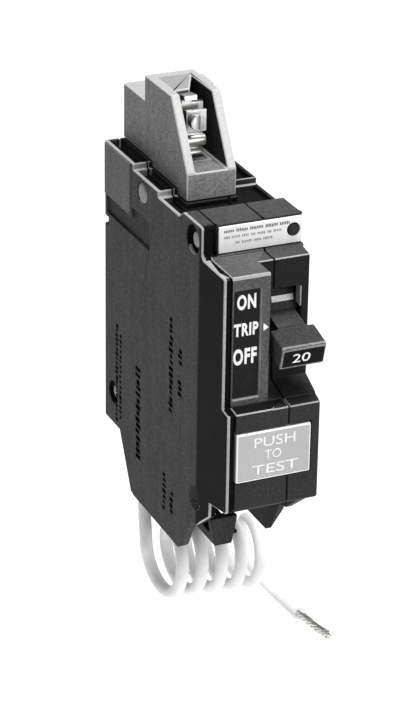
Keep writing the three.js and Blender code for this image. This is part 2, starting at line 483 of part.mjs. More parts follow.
// A point of the wire in the coil; turns counts from the back of the first turn, going down and forward.
const coilPoint = (turns) => {
  const angle = 2 * Math.PI * turns;
  return spot(COIL_AXIS.across + COIL_PITCH * turns, COIL_AXIS.depth - COIL_RADIUS * Math.cos(angle),
    COIL_AXIS.height - COIL_AXIS.drop * turns - COIL_RADIUS * Math.sin(angle));
};
const coilLength = COIL_PITCH * (COIL_TURNS + 0.25) + WIRE;
const coilTilt = Math.atan2(COIL_AXIS.drop, COIL_PITCH);
const coilSolid = (radius, length) => {
  const geometry = new THREE.CylinderGeometry(radius, radius, length, 40);
  geometry.rotateZ(Math.PI / 2 - coilTilt);
  const half = (COIL_TURNS + 0.25) / 2;
  const middle = spot(COIL_AXIS.across + COIL_PITCH * half, COIL_AXIS.depth,
    COIL_AXIS.height - COIL_AXIS.drop * half);
  geometry.translate(middle.x, middle.y, middle.z);
  return solidOf(geometry);
};
piece("pigtail_coil", coilSolid(COIL_OUTER, coilLength), "insulation");
const aroundCoil = coilSolid(COIL_OUTER + GAP, coilLength + 2 * GAP);
const leadPoints = [spot(...EXIT, -80.0), spot(4.6, 15.5, -84.5), spot(4.4, 15.9, -89.0), spot(3.8, 17.4, -94.0),
  spot(3.1, 19.8, -98.5)];
piece("pigtail_lead", cut(tube(leadPoints, wireRadius, 8, 12), aroundCoil), "insulation");
const tailStart = coilPoint(COIL_TURNS + 0.25);
const TAIL = [[0, 0, 0], [0, 8, 0.3], [0, 16, 0.9], [0, 23, 1.5]];
const tailPoint = ([across, ahead, up]) => new THREE.Vector3(tailStart.x + across, tailStart.y - ahead, tailStart.z + up);
piece("pigtail_tail", cut(tube(TAIL.map(tailPoint), wireRadius, 8, 12), aroundCoil), "insulation");
const BARE = [[0, 23.3, 1.5], [0.3, 31, 2.4], [0.6, 38.5, 3.6]];
piece("pigtail_strands", tube(BARE.map(tailPoint), 1.1, 8, 6), "tin");
const bushing = cut(rod("z", 2.4, -92, -77.5, EXIT, 24).intersect(prism(CASE_OUTLINE, 0, WIDTH)),
  rod("z", wireRadius + GAP + 0.05, -95, -75, EXIT, 20));
piece("pigtail_bushing", bushing, "case");

export default breaker;
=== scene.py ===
"""Ground-fault circuit breaker with a coiled pigtail: the looks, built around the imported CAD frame.

Lengths in the tables are millimetres, measured from the case: across from its left face, forward
from its flat back, and up from its top back edge. spot() turns such a place into the shared frame,
in metres.
"""

import json
import math
import random

import bmesh
import bpy
from mathutils import Matrix, Vector


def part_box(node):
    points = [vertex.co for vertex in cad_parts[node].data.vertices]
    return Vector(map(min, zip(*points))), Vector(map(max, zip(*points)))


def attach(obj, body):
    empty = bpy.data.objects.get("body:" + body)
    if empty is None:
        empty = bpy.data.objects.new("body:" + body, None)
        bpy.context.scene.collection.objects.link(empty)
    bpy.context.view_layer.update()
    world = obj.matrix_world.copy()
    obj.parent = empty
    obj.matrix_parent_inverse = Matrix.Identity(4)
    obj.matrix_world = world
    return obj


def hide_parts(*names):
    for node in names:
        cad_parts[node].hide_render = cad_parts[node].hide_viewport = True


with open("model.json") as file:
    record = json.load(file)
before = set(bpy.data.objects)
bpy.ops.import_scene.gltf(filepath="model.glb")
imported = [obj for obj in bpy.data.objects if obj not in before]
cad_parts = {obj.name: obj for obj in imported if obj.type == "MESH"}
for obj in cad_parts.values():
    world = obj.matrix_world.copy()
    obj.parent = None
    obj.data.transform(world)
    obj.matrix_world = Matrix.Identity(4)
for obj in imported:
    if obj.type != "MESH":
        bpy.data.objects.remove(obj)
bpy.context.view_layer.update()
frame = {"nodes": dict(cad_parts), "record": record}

MM = 0.001
STRAY = 0.00001                   # metres; a corner further outside its piece than this is a fault
WELD = 2e-6                       # metres; corners closer than this are one corner
EDGE_ANGLE = 25                   # degrees; sharper edges than this are rounded
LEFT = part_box("left_cover")[0].x
BACK_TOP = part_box("left_cover")[1].z
WIDTH = 25.4
RECORD = frame["record"]
BODY_OF = {node: body for body, nodes in RECORD["behaviour"]["bodies"].items() for node in nodes}
SLOT_OF = {part["node"]: part["material_slot"] for part in RECORD["subparts"]}


def spot(across, depth, height):
    """A place on the breaker, in millimetres, as a point in the shared frame, in metres."""
    return Vector((LEFT + across * MM, -depth * MM, BACK_TOP + height * MM))


# ------------------------------------------------------------------ camera
CAMERA_PLACE = (-0.2349, -0.5587, 0.2585)
CAMERA_TURN = -24.03              # degrees round the breaker, from straight in front
CAMERA_RISE = 24.84
CAMERA_ROLL = -0.89
CAMERA_LENS = 133.3
CAMERA_SHIFT = 0.0014


def make_camera():
    turn, rise, roll = (math.radians(a) for a in (CAMERA_TURN, CAMERA_RISE, CAMERA_ROLL))
    right = Vector((math.cos(turn), math.sin(turn), 0))
    back = Vector((math.sin(turn) * math.cos(rise), -math.cos(turn) * math.cos(rise), math.sin(rise)))
    up = back.cross(right)
    side = right * math.cos(roll) - up * math.sin(roll)
    top = right * math.sin(roll) + up * math.cos(roll)
    data = bpy.data.cameras.new("camera")
    data.sensor_fit = "VERTICAL"
    data.sensor_height = 36
    data.lens = CAMERA_LENS
    data.shift_x = CAMERA_SHIFT
    data.clip_start = 0.01
    camera = bpy.data.objects.new("camera", data)
    camera.matrix_world = Matrix.Translation(CAMERA_PLACE) @ Matrix((side, top, back)).transposed().to_4x4()
    bpy.context.scene.collection.objects.link(camera)
    bpy.context.scene.camera = camera


make_camera()


# ------------------------------------------------------------------ materials
class Nodes:
    """Short hand for building a material's node tree."""

    def __init__(self, name):
        self.material = bpy.data.materials.new(name)
        self.material.use_nodes = True
        self.tree = self.material.node_tree
        self.shader = self.tree.nodes["Principled BSDF"]
        self.where = self.add("TexCoord").outputs["Object"]

    def add(self, kind, **settings):
        node = self.tree.nodes.new("ShaderNode" + kind)
        for key, value in settings.items():
            if key in node.inputs:
                node.inputs[key].default_value = value
            else:
                setattr(node, key, value)
        return node

    def link(self, source, target):
        self.tree.links.new(source, target)

    def noise(self, scale, detail=3.0, rough=0.6, stretch=None):
        texture = self.add("TexNoise", Scale=scale, Detail=detail, Roughness=rough)
        source = self.where
        if stretch:
            mapping = self.add("Mapping", Scale=stretch)
            self.link(self.where, mapping.inputs["Vector"])
            source = mapping.outputs["Vector"]
        self.link(source, texture.inputs["Vector"])
        return texture.outputs["Fac"]

    def mixed(self, first, second, share):
        blend = self.add("Mix", data_type="FLOAT")
        blend.inputs[0].default_value = share
        self.link(first, blend.inputs[2])
        self.link(second, blend.inputs[3])
        return blend.outputs[0]

    def ramp(self, factor, stops):
        ramp = self.add("ValToRGB")
        elements = ramp.color_ramp.elements
        while len(elements) < len(stops):
            elements.new(0.5)
        for element, (place, colour) in zip(elements, stops):
            element.position = place
            element.color = (*colour, 1)
        self.link(factor, ramp.inputs["Fac"])
        return ramp.outputs["Color"]

    def over(self, under, colour, factor):
        """colour laid over under, as far as factor says."""
        mix = self.add("Mix", data_type="RGBA")
        self.link(factor, mix.inputs[0])
        self.link(under, mix.inputs[6])
        mix.inputs[7].default_value = (*colour, 1)
        return mix.outputs[2]

    def colour(self, source):
        self.link(source, self.shader.inputs["Base Color"])

    def roughness(self, factor, low, high):
        spread = self.add("MapRange")
        spread.inputs["To Min"].default_value = low
        spread.inputs["To Max"].default_value = high
        self.link(factor, spread.inputs["Value"])
        self.link(spread.outputs["Result"], self.shader.inputs["Roughness"])

    def bump(self, height, strength, distance=0.0001):
        node = self.add("Bump", Strength=strength, Distance=distance)
        self.link(height, node.inputs["Height"])
        self.link(node.outputs["Normal"], self.shader.inputs["Normal"])

    def band(self, axis, low, high):
        """0 below low and 1 above high along an axis of the frame, in metres."""
        split = self.add("SeparateXYZ")
        self.link(self.where, split.inputs["Vector"])
        spread = self.add("MapRange")
        spread.inputs["From Min"].default_value = low
        spread.inputs["From Max"].default_value = high
        self.link(split.outputs[axis], spread.inputs["Value"])
        return spread.outputs["Result"]


SIDE_STEP = (-0.0586, -0.0572)    # metres along Y, from the front of the step to its back; painted shade lies forward of it


def grey(value):
    return (value, value, value)


def speckled(n, tone, blend, spread):
    """A tone that varies with blend, darker and lighter by spread."""
    dark, light = (tuple(c * (1 + k * spread) for c in tone) for k in (-1, 1))
    return n.ramp(blend, [(0.38, dark), (0.5, tone), (0.62, light)])


def tones_with_shaded_front(n, tone, shaded_front_tone, blend, spread):
    """Two speckled tones, one behind the shallow step in the side wall and a darker one in front of it, which
    is painted shade.
    """
    mix = n.add("Mix", data_type="RGBA")
    n.link(n.band("Y", *SIDE_STEP), mix.inputs[0])
    n.link(speckled(n, shaded_front_tone, blend, spread), mix.inputs[6])
    n.link(speckled(n, tone, blend, spread), mix.inputs[7])
    return mix.outputs[2]


def moulded(name, tone, roughness=0.5, grain=0.10, specular=0.2, spread=0.42, shaded_front_tone=None):
    """Moulded plastic: fine speckle over slow clouds, scuffs along the surface, and a bumpy grain.

    The front tone is the tone forward of the shallow step in the side wall, where there is one: a darker tone
    that paints the shade there."""
    n = Nodes(name)
    speckle = n.noise(1700.0, 3.0, 0.75)
    clouds = n.noise(70.0, 4.0, 0.6)
    scuffs = n.noise(420.0, 2.0, 0.5, (1.0, 1.0, 0.12))
    blend = n.mixed(n.mixed(speckle, clouds, 0.2), scuffs, 0.12)
    if shaded_front_tone:
        n.colour(tones_with_shaded_front(n, tone, shaded_front_tone, blend, spread))
    else:
        n.colour(speckled(n, tone, blend, spread))
    n.roughness(clouds, roughness - 0.07, roughness + 0.08)
    n.bump(speckle, grain)
    n.shader.inputs["Specular IOR Level"].default_value = specular
    return n.material


def metal(name, colour, roughness=0.34, brushed=(1.0, 1.0, 0.08), tarnish=0.35, tarnish_colour=None):
    """Plated or bare metal: fine drawn lines, slow tarnish, and small dents."""
    n = Nodes(name)
    lines = n.noise(1500.0, 3.0, 0.6, brushed)
    clouds = n.noise(140.0, 4.0, 0.6)
    dents = n.noise(700.0, 2.0, 0.5)
    dark = tuple(c * 0.72 for c in colour)
    base = n.ramp(lines, [(0.35, dark), (0.62, colour)])
    stain = tarnish_colour or tuple(c * 0.45 for c in colour)
    spread = n.add("MapRange")
    spread.inputs["From Min"].default_value = 0.5
    spread.inputs["From Max"].default_value = 0.75
    spread.inputs["To Max"].default_value = tarnish
    n.link(clouds, spread.inputs["Value"])
    n.colour(n.over(base, stain, spread.outputs["Result"]))
    n.roughness(clouds, roughness - 0.06, roughness + 0.16)
    n.bump(n.mixed(lines, dents, 0.5), 0.16)
    n.shader.inputs["Metallic"].default_value = 1.0
    return n.material


def film(name, tone):
    """Printed label film: almost even, with faint mottling and a slight orange peel."""
    n = Nodes(name)
    mottle = n.noise(900.0, 3.0, 0.6)
    n.colour(n.ramp(mottle, [(0.3, tuple(c * 0.93 for c in tone)), (0.7, tone)]))
    n.roughness(n.noise(160.0), 0.30, 0.45)
    n.bump(mottle, 0.05)
    n.shader.inputs["Specular IOR Level"].default_value = 0.3
    return n.material


def wire_cover(name):
    """Soft PVC over stranded wire: faint lengthwise smears and a waxy bloom."""
    n = Nodes(name)
    bloom = n.noise(260.0, 4.0, 0.6)
    fine = n.noise(2200.0, 2.0, 0.6)
    tones = [(0.32, grey(0.75)), (0.5, grey(0.84)), (0.7, grey(0.89))]
    n.colour(n.ramp(n.mixed(bloom, fine, 0.4), tones))
    n.roughness(bloom, 0.34, 0.5)
    n.bump(fine, 0.06)
    n.shader.inputs["Specular IOR Level"].default_value = 0.06
    n.shader.inputs["Subsurface Weight"].default_value = 0.08
    n.shader.inputs["Subsurface Radius"].default_value = (0.0006, 0.0006, 0.0005)
    return n.material


def lacquered_board(name):
    """Circuit board: solder mask over a grid of fine tracks and a woven glass ground."""
    n = Nodes(name)
    weave = n.add("TexWave", Scale=900.0, Distortion=0.6)
    tracks = n.add("TexVoronoi", Scale=380.0, feature="DISTANCE_TO_EDGE")
    for texture in (weave, tracks):
        n.link(n.where, texture.inputs["Vector"])
    base = n.ramp(tracks.outputs["Distance"], [(0.02, (0.10, 0.34, 0.16)), (0.10, (0.03, 0.15, 0.07))])
    n.colour(base)
    n.roughness(n.noise(300.0), 0.28, 0.45)
    n.bump(n.mixed(weave.outputs["Fac"], tracks.outputs["Distance"], 0.5), 0.15)
    return n.material


def wound(name, colour):
    """Enamelled wire wound round a bobbin: rings across its length."""
    n = Nodes(name)
    rings = n.add("TexWave", Scale=700.0, Distortion=0.4, bands_direction="Y")
    n.link(n.where, rings.inputs["Vector"])
    n.colour(n.ramp(rings.outputs["Fac"], [(0.2, tuple(c * 0.35 for c in colour)), (0.75, colour)]))
    n.roughness(n.noise(400.0), 0.25, 0.4)
    n.bump(rings.outputs["Fac"], 0.4, 0.0002)
    n.shader.inputs["Metallic"].default_value = 0.6
    return n.material


def ink(name, tone, specular=0.25):
    """Paint or ink in a moulded mark: thin at places, with a soft ragged look."""
    n = Nodes(name)
    patch = n.noise(1800.0, 3.0, 0.7)
    n.colour(n.ramp(patch, [(0.34, tuple(c * 0.72 for c in tone)), (0.56, tone)]))
    n.roughness(patch, 0.45, 0.6)
    n.bump(patch, 0.08)
    n.shader.inputs["Specular IOR Level"].default_value = specular
    return n.material


MATERIALS = {
    "case": moulded("case_plastic", grey(0.026), specular=0.10),
    # Painted light and shade: the case's black plastic made lighter for the left face, and much darker
    # forward of the step.
    "cover": moulded("cover_plastic_lit_side_shaded_front", grey(0.062), specular=0.015, shaded_front_tone=grey(0.005)),
    # Painted light: a lighter copy of the case plastic for faces that point up.
    "case_lit_top": moulded("case_plastic_lit_top", grey(0.058), 0.45, specular=0.12),
    # Painted light: a still lighter copy of the case plastic, for the ledge top and the window block's front.
    "case_lit_mid": moulded("case_plastic_lit_mid", grey(0.085), 0.42, specular=0.12),
    # Painted shade: a near-black copy of the case plastic for recesses, gaps and shaded faces.
    "case_painted_shade": moulded("case_plastic_shaded", grey(0.008), 0.7, specular=0.05),
    # Painted highlight: a light copy of the case plastic for rounded edges that catch the light.
    "case_edge_highlight": moulded("case_rounding_highlight", grey(0.36), 0.45, spread=0.2),
    # The window's black plastic, also used as painted shade on the column's front.
    "window": moulded("window_black_and_column_shade", grey(0.012), 0.5, specular=0.08),
    "patch": moulded("cover_patch", grey(0.125), specular=0.02),
    # Painted shade: a darker tone for the floor of the sunk label space.
    "sunk": moulded("cover_sunk_shade", grey(0.040), specular=0.02),
    "housing": moulded("housing_plastic", grey(0.165), 0.55, specular=0.12),
    # Painted light: a lighter copy of the housing plastic for its front faces.
    "housing_front_lit": moulded("housing_front_lit", grey(0.27), 0.55, specular=0.12),
    # Painted shade: a dark copy of the housing plastic for the slot's inner walls.
    "housing_inside_shade": moulded("housing_inside_shade", grey(0.030), 0.65, specular=0.06),
    # Painted light: the lightest copy of the housing plastic, for sloped fronts facing up and forward.
    "housing_rim_lit": moulded("housing_rim_lit", grey(0.54), 0.5, spread=0.10, specular=0.06),
    # Painted light: a lighter copy of the housing plastic for the cap's top, a little darker than the other
    # tops.
    "housing_cap_lit": moulded("housing_cap_lit", grey(0.29), 0.55, spread=0.16, specular=0.06),
    # Painted light: a lighter copy of the housing plastic for faces that point up.
    "housing_top_lit": moulded("housing_top_lit", grey(0.41), 0.5, spread=0.12, specular=0.06),
    # Painted highlight: a light copy of the housing plastic for rounded edges.
    "housing_edge_highlight": moulded("housing_rounding_highlight", grey(0.50), 0.5, spread=0.10, specular=0.06),
    "handle": moulded("handle_plastic", grey(0.046), 0.5, grain=0.14, specular=0.06),
    # Painted highlight: a light copy of the handle plastic for rounded edges.
    "handle_edge_highlight": moulded("handle_rounding_highlight", grey(0.20), 0.45),
    "button": moulded("button_plastic", grey(0.44), 0.5, spread=0.06),
    # Painted highlight: a near-white copy of the button plastic for its rounded border.
    "button_edge_highlight": moulded("button_rounding_highlight", grey(0.93), 0.4, spread=0.04),
    "label": film("label_film", grey(0.93)),
    "steel": metal("zinc_plate", grey(0.62)),
    "tin": metal("tin_plate", (0.76, 0.75, 0.73), 0.3),
    "copper": metal("bare_copper", (0.72, 0.42, 0.26), 0.32, tarnish=0.6, tarnish_colour=(0.20, 0.09, 0.05)),
    "silver": metal("contact_silver", grey(0.82), 0.28),
    "rivet": metal("rivet_steel", grey(0.30), 0.55, (1, 1, 1), 0.2),
    "board": lacquered_board("board"),
    "ferrite": moulded("ferrite", grey(0.05), 0.62, 0.25),
    "winding": wound("winding", (0.50, 0.22, 0.10)),
    "fibre": moulded("fibre", (0.42, 0.23, 0.14), 0.75, 0.3),
    "chip": moulded("epoxy", grey(0.025), 0.5, 0.16),
    "ceramic": moulded("varistor", (0.07, 0.17, 0.38), 0.4),
    "insulation": wire_cover("insulation"),
    "white_ink": ink("white_ink", grey(0.95)),
    "grey_ink": ink("grey_ink", grey(0.34)),
    "dark_ink": ink("dark_ink", grey(0.10)),
    "black_mark": ink("black_mark", grey(0.004), 0.0),
    "pale_mark": ink("pale_mark", grey(0.90)),
}


# ------------------------------------------------------------------ building meshes
def new_object(name, mesh):
    piece = bpy.data.objects.new(name, mesh)
    bpy.context.scene.collection.objects.link(piece)
    return piece


def to_place(along, a, b, c):
    """(a, b) of an outline, and c along its axis: X takes (depth, height), Y (across, height)."""
    return spot(c, a, b) if along == "X" else spot(a, c, b)


def skin(shape, rings):
    """Faces between each ring of corners and the next, and a cap on both ends."""
    for first, second in zip(rings, rings[1:]):
        count = len(first)
        for i in range(count):
            j = (i + 1) % count
            shape.faces.new((first[i], first[j], second[j], second[i]))
    shape.faces.new(rings[0][::-1])
    shape.faces.new(rings[-1])


def object_of(name, shape, outward=True):
    """An object with a bmesh's shape, its faces turned outward; the bmesh is used up."""
    if outward:
        bmesh.ops.recalc_face_normals(shape, faces=shape.faces)
    mesh = bpy.data.meshes.new(name)
    shape.to_mesh(mesh)
    shape.free()
    return new_object(name, mesh)


def slab(name, along, outline, low, high):
    """An outline carried along an axis from low to high."""
    shape = bmesh.new()
    skin(shape, [[shape.verts.new(to_place(along, a, b, c)) for a, b in outline] for c in (low, high)])
    return object_of(name, shape)


def block(name, x0, x1, d0, d1, z0, z1):
    return slab(name, "X", [(d0, z0), (d1, z0), (d1, z1), (d0, z1)], x0, x1)


def round_outline(a, b, radius, sides):
    angles = [2 * math.pi * i / sides for i in range(sides)]
    return [(a + radius * math.cos(angle), b + radius * math.sin(angle)) for angle in angles]


def lathe(name, along, centre, profile, sides=36):
    """A turned piece: profile is (radius, place along the axis), from one end to the other."""
    shape = bmesh.new()
    rings = []
    for radius, c in profile:
        outline = round_outline(*centre, radius, sides)
        rings.append([shape.verts.new(to_place(along, a, b, c)) for a, b in outline])
    skin(shape, rings)
    return object_of(name, shape)


def sweep_into(shape, points, radius, sides):
    """A round tube along points, added to a bmesh."""
    rings = []
    normal = Vector((0, 0, 1))
    for i, point in enumerate(points):
        ahead = points[min(i + 1, len(points) - 1)] - points[max(i - 1, 0)]
        ahead.normalize()
        normal = (normal - ahead * normal.dot(ahead)).normalized()
        side = ahead.cross(normal)
        rings.append([shape.verts.new(point + (normal * math.cos(a) + side * math.sin(a)) * radius)
                      for a in (2 * math.pi * k / sides for k in range(sides))])
    skin(shape, rings)


def evaluated_mesh(piece):
    """A new mesh with the piece's shape after its modifiers."""
    return bpy.data.meshes.new_from_object(piece.evaluated_get(bpy.context.evaluated_depsgraph_get()))


def carve(piece, *cutters):
    """Takes the cutters out of a piece, and removes them."""
    for cutter in cutters:
        modifier = piece.modifiers.new("cut", "BOOLEAN")
        modifier.object = cutter
        modifier.operation = "DIFFERENCE"
        modifier.solver = "EXACT"
    result = evaluated_mesh(piece)
    piece.modifiers.clear()
    old = piece.data
    piece.data = result
    bpy.data.meshes.remove(old)
    for cutter in cutters:
        bpy.data.objects.remove(cutter)


def weld(mesh):
    """Joins corners that lie on each other, so the piece is closed."""
    shape = bmesh.new()
    shape.from_mesh(mesh)
    bmesh.ops.remove_doubles(shape, verts=shape.verts, dist=WELD)
    shape.to_mesh(mesh)
    shape.free()


def from_node(node, name=None):
    """A new piece with a CAD node's shape."""
    mesh = frame["nodes"][node].data.copy()
    mesh.name = name or node + "_looks"
    piece = new_object(mesh.name, mesh)
    mesh.materials.clear()
    weld(mesh)
    return piece


def split_at(piece, *planes):
    """Cuts the piece's faces along planes, without parting it.

    Each plane is an axis letter, with D for depth, and a place in millimetres."""
    shape = bmesh.new()
    shape.from_mesh(piece.data)
    for axis, value in planes:
        normal = {"X": (1, 0, 0), "D": (0, 1, 0), "Z": (0, 0, 1)}[axis]
        bmesh.ops.bisect_plane(shape, geom=shape.verts[:] + shape.edges[:] + shape.faces[:], dist=1e-6,
                               plane_co=spot(*(value * n for n in normal)), plane_no=normal)
    shape.to_mesh(piece.data)
    shape.free()


def merge_strays(shape, low, high):
    """Rounding only takes material away: a corner pushed out of the piece's box joins its neighbour."""
    def outside(vertex):
        return any(vertex.co[i] < low[i] - STRAY or vertex.co[i] > high[i] + STRAY for i in range(3))

    strays = [v for v in shape.verts if outside(v)]
    for _ in range(4):
        for vertex in [v for v in strays if outside(v)]:
            neighbours = [e.other_vert(vertex) for e in vertex.link_edges]
            inner = [v for v in neighbours if not outside(v)]
            if inner:
                vertex.co = min(inner, key=lambda v: (v.co - vertex.co).length).co
    bmesh.ops.remove_doubles(shape, verts=shape.verts, dist=1e-6)


def round_edges(piece, width, segments=2, edge_index=1):
    """Rounds the sharp edges by width, in millimetres; the rounding takes the material at edge_index."""
    shape = bmesh.new()
    shape.from_mesh(piece.data)
    bmesh.ops.triangulate(shape, faces=shape.faces[:])
    sharp = math.radians(EDGE_ANGLE)
    edges = [e for e in shape.edges if len(e.link_faces) == 2 and e.calc_face_angle() > sharp]
    low = [min(v.co[i] for v in shape.verts) for i in range(3)]
    high = [max(v.co[i] for v in shape.verts) for i in range(3)]
    bmesh.ops.bevel(shape, geom=edges, offset=width * MM, offset_type="OFFSET", segments=segments,
                    profile=0.5, affect="EDGES", clamp_overlap=False, material=edge_index,
                    loop_slide=False, harden_normals=False)
    merge_strays(shape, low, high)
    shape.to_mesh(piece.data)
    shape.free()


def place_of(face):
    """The middle of a face, as (across, depth, height) in millimetres."""
    c = face.center
    return (c.x - LEFT) / MM, -c.y / MM, (c.z - BACK_TOP) / MM


def keep_edge_highlights(piece, test):
    """The rounded edges keep the light material, a painted highlight, at index 1, only where test says so."""
    for face in piece.data.polygons:
        if face.material_index == 1 and not test(*place_of(face)):
            face.material_index = 0


def paint(piece, index, test):
    """Gives plain faces the material at index where test(across, depth, height, normal) says so."""
    for face in piece.data.polygons:
        if face.material_index == 0 and test(*place_of(face), face.normal):
            face.material_index = index


def finish_piece(piece, body, materials, replaces=(), smooth=20):
    """Gives a piece its materials and body; smooth is the angle it is shaded smooth up to."""
    for material in materials:
        piece.data.materials.append(MATERIALS[material])
    for face in piece.data.polygons:
        face.use_smooth = smooth > 0
    piece.data.set_sharp_from_angle(angle=math.radians(smooth))
    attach(piece, body)
    if replaces:
        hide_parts(*replaces)
    return piece


def rounded_copy(node, materials, width, smooth=20):
    """A CAD node with its edges rounded, in its place; the last of materials is on the rounding."""
    piece = from_node(node)
    round_edges(piece, width, edge_index=len(materials) - 1)
    return finish_piece(piece, BODY_OF[node], materials, (node,), smooth)


def join_pieces(name, pieces):
    shape = bmesh.new()
    for piece in pieces:
        shape.from_mesh(piece.data)
        bpy.data.objects.remove(piece)
    return object_of(name, shape, outward=False)


# ------------------------------------------------------------------ pigtail
WIRE = 3.3
COIL_RADIUS = 8.3
COIL_TURNS = 5
COIL_PITCH = 5.4
COIL_AXIS = (2.6, 30.0, -102.6)
COIL_DROP = 0.46                  # how far each turn hangs below the last
COIL_END = COIL_TURNS + 0.25      # in turns
LEAD = [(4.6, 15.5, -85.4), (4.55, 15.6, -86.8), (4.4, 15.9, -89.0), (4.15, 16.5, -91.5),
        (3.8, 17.4, -94.0), (3.45, 18.5, -96.4), (3.1, 19.8, -98.9)]
# The tail and the bare end are measured from the coil's end: across, forward and up.
TAIL = [(0, 4, 0.1), (0, 8, 0.3), (0, 12, 0.6), (0, 16, 0.9), (0, 19.5, 1.2), (0, 23, 1.5)]
BARE = [(0, 22.6, 1.5), (0.1, 26, 1.8), (0.3, 31, 2.4), (0.5, 35.5, 3.0), (0.6, 38.5, 3.6)]
POINTS_PER_TURN = 28
STRANDS = 7                       # six round one in the middle
STRAND_RADIUS = 0.36


def past_coil(points):
    """Places measured from the coil's end, in the shared frame."""
    end = coil_point(COIL_END)
    return [end + Vector((across * MM, -forward * MM, up * MM)) for across, forward, up in points]


def coil_point(turns):
    angle = 2 * math.pi * turns
    across, depth, height = COIL_AXIS
    return spot(across + COIL_PITCH * turns, depth - COIL_RADIUS * math.cos(angle),
                height - COIL_DROP * turns - COIL_RADIUS * math.sin(angle))


def smooth_route(points, steps):
    """Points on one smooth curve through the given ones."""
    route = []
    for i in range(len(points) - 1):
        before = points[max(i - 1, 0)]
        after = points[min(i + 2, len(points) - 1)]
        first, second = points[i], points[i + 1]
        for k in range(steps):
            t = k / steps
            route.append(0.5 * ((2 * first) + (second - before) * t
                                + (2 * before - 5 * first + 4 * second - after) * t * t
                                + (3 * first - before - 3 * second + after) * t ** 3))
    return route + [points[-1]]


def pigtail_route():
    steps = round(COIL_END * POINTS_PER_TURN)
    coil = [coil_point(COIL_END * i / steps) for i in range(steps + 1)]
    start = smooth_route([spot(*p) for p in LEAD] + coil[:3], 2)
    return start + coil[3:-1] + smooth_route(coil[-2:] + past_coil(TAIL), 2)[2:]


def make_pigtail():
    route = pigtail_route()
    data = bpy.data.curves.new("pigtail", "CURVE")
    data.dimensions = "3D"
    data.bevel_depth = WIRE / 2 * MM
    data.bevel_resolution = 6
    data.use_fill_caps = True
    line = data.splines.new("POLY")
    line.points.add(len(route) - 1)
    for target, point in zip(line.points, route):
        target.co = (*point, 1)
    line.use_smooth = True
    data.materials.append(MATERIALS["insulation"])
    cord = bpy.data.objects.new("pigtail", data)
    bpy.context.scene.collection.objects.link(cord)
    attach(cord, "case")
    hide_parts("pigtail_lead", "pigtail_coil", "pigtail_tail")
    return cord, route


def make_strands():
    """Seven bare strands twisted round each other, one of them springing loose at the tip."""
    middle = smooth_route(past_coil(BARE), 14)
    shape = bmesh.new()
    ahead = (middle[-1] - middle[0]).normalized()
    side = ahead.cross(Vector((0, 0, 1))).normalized()
    up = side.cross(ahead)
    last = len(middle) - 1
    for strand in range(STRANDS):
        points = []
        for i, centre in enumerate(middle):
            share = i / last
            radius = 0.0 if strand == STRANDS - 1 else 0.72 + 0.10 * math.sin(3 * share + strand)
            angle = 2 * math.pi * (strand / 6 + 1.5 * share)
            loose = max(0.0, share - 0.86) * (5 if strand == 1 else 1.2)
            points.append(centre + (side * math.cos(angle) + up * math.sin(angle)) * radius * MM
                          + up * loose * (1 if strand % 2 else -0.6) * MM)
        stop = last + 1 - (strand * 5) % 4
        sweep_into(shape, points[:stop], STRAND_RADIUS * MM, 8)
    piece = object_of("pigtail_bare_strands", shape)
    return finish_piece(piece, "case", ["tin"], ("pigtail_strands",), 40)


pigtail, pigtail_line = make_pigtail()
strands = make_strands()


# ------------------------------------------------------------------ light and floor
def area_light(name, place, target, size, strength):
    """strength is how brightly it lights a surface that faces it, with 1 for a white world's light."""
    place, target = Vector(place), Vector(target)
    data = bpy.data.lights.new(name, "AREA")
    data.shape = "RECTANGLE"
    data.size, data.size_y = size
    data.energy = strength * math.pi ** 2 * (place - target).length_squared
    light = bpy.data.objects.new(name, data)
    light.location = place
    light.rotation_euler = (target - place).to_track_quat("-Z", "Y").to_euler()
    bpy.context.scene.collection.objects.link(light)


FLOOR_LEVEL = -0.35
FLOOR_HALF = 6.0
WORLD_STRENGTH = 0.35


def make_studio():
    world = bpy.data.worlds.new("studio")
    world.use_nodes = True
    background = world.node_tree.nodes["Background"]
    background.inputs["Color"].default_value = (1, 1, 1, 1)
    background.inputs["Strength"].default_value = WORLD_STRENGTH
    bpy.context.scene.world = world
    bpy.context.scene.view_settings.view_transform = "Standard"
    target = (0, -0.04, 0)
    area_light("overhead", (0.5, -0.3, 6.0), target, (2.4, 2.4), 1.35)
    area_light("front_fill", (2.2, -5.0, 1.2), target, (2.4, 2.4), 0.33)
    mesh = bpy.data.meshes.new("floor")
    corners = [(x * FLOOR_HALF, y * FLOOR_HALF, FLOOR_LEVEL) for x, y in ((-1, -1), (1, -1), (1, 1), (-1, 1))]
    mesh.from_pydata(corners, [], [(0, 1, 2, 3)])
    floor = new_object("floor", mesh)
    n = Nodes("floor")
    paper = n.noise(3.0, 2.0)
    n.colour(n.ramp(paper, [(0.3, grey(0.84)), (0.7, grey(0.88))]))
    n.shader.inputs["Roughness"].default_value = 0.9
    mesh.materials.append(n.material)


make_studio()


# ------------------------------------------------------------------ case
STRIPS = ((0.9, 4.6), (17.8, 24.5))           # across, left and right of the line housing
STEP_BARS = ((17.4, 19.0), (32.9, 34.5))      # depth of the bars between a strip's floors
BAND = (39.9, 45.5)                           # depth of the band in front of the housing
BAND_FLOOR = -4.3
RISER_SLOT = (0.7, 3.9, 57.9, 61, -8.2, -1.7)
UPPER_SEAT = (54.2, -5.6)                     # depth and height of the rivets' seats
BACK_SEAT = (5.2, -66.0)
TOP_RIVET = (24.0, -5.3)
EJECTOR_RADIUS = 1.9
MARK_DEPTH = 0.32                             # deeper than the edges are rounded


